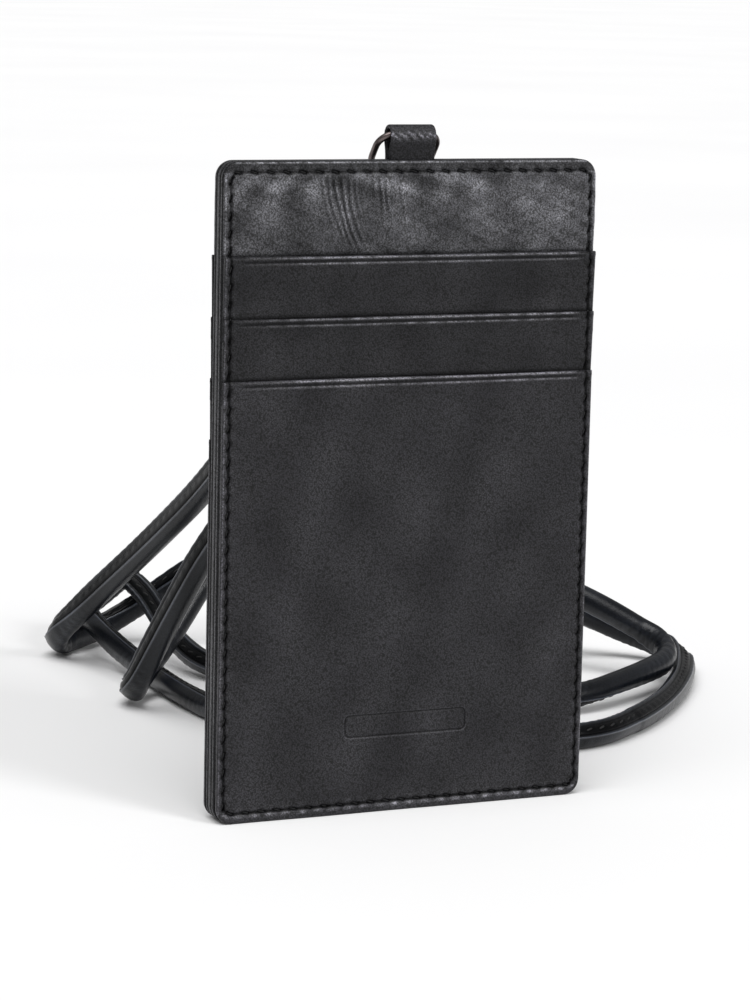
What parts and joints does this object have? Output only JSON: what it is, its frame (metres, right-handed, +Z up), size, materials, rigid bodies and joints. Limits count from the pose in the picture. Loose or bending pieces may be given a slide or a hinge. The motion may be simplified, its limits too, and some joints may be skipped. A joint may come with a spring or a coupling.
{
  "type": "neck pouch wallet",
  "caption": "Slim upright leather card pouch with stepped card pockets on both faces, a hanger loop with a D-ring at the top, and a rolled leather neck cord.",
  "frame": {"origin": "middle of the pouch's bottom edge, on the surface it stands on", "axes": "+X right seen from the front, +Y towards the back, +Z up"},
  "size_m": [0.148, 0.1659, 0.1243],
  "materials": {
    "pouch_leather": "smooth satin black leather with fine grain",
    "cord_leather": "smooth rolled black leather",
    "edge_board": "grey stiffener board",
    "felt": "thin felt padding",
    "lining_fabric": "black woven lining",
    "thread": "black bonded thread",
    "gunmetal": "dark gunmetal plating"
  },
  "bodies": {
    "pouch": {"front_body": "pouch_leather", "rear_body": "pouch_leather", "centre_board": "edge_board", "front_padding": "felt", "rear_padding": "felt", "front_pocket_upper": "pouch_leather", "front_pocket_middle": "pouch_leather", "front_pocket_lower": "pouch_leather", "rear_pocket_first": "pouch_leather", "rear_pocket_second": "pouch_leather", "rear_pocket_third": "pouch_leather", "rear_pocket_fourth": "pouch_leather", "front_lining_upper": "lining_fabric", "front_lining_middle": "lining_fabric", "front_lining_lower": "lining_fabric", "rear_lining_first": "lining_fabric", "rear_lining_second": "lining_fabric", "rear_lining_third": "lining_fabric", "rear_lining_fourth": "lining_fabric", "front_stitching": "thread", "rear_stitching": "thread", "hanger_loop": "pouch_leather"},
    "ring": {"ring": "gunmetal"},
    "cord": {"cord_tab": "cord_leather", "tab_stitching": "thread", "neck_cord": "cord_leather"}
  },
  "joints": [
    {"name": "ring_swing", "type": "hinge", "parent": "pouch", "child": "ring", "pos_m": [0, 0, 0.1223], "axis": [1, 0, 0], "range_deg": [0, 180]},
    {"name": "cord_swing", "type": "hinge", "parent": "ring", "child": "cord", "pos_m": [0, 0.00675, 0.11453], "axis": [1, 0, 0], "range_deg": [0, 90]}
  ]
}
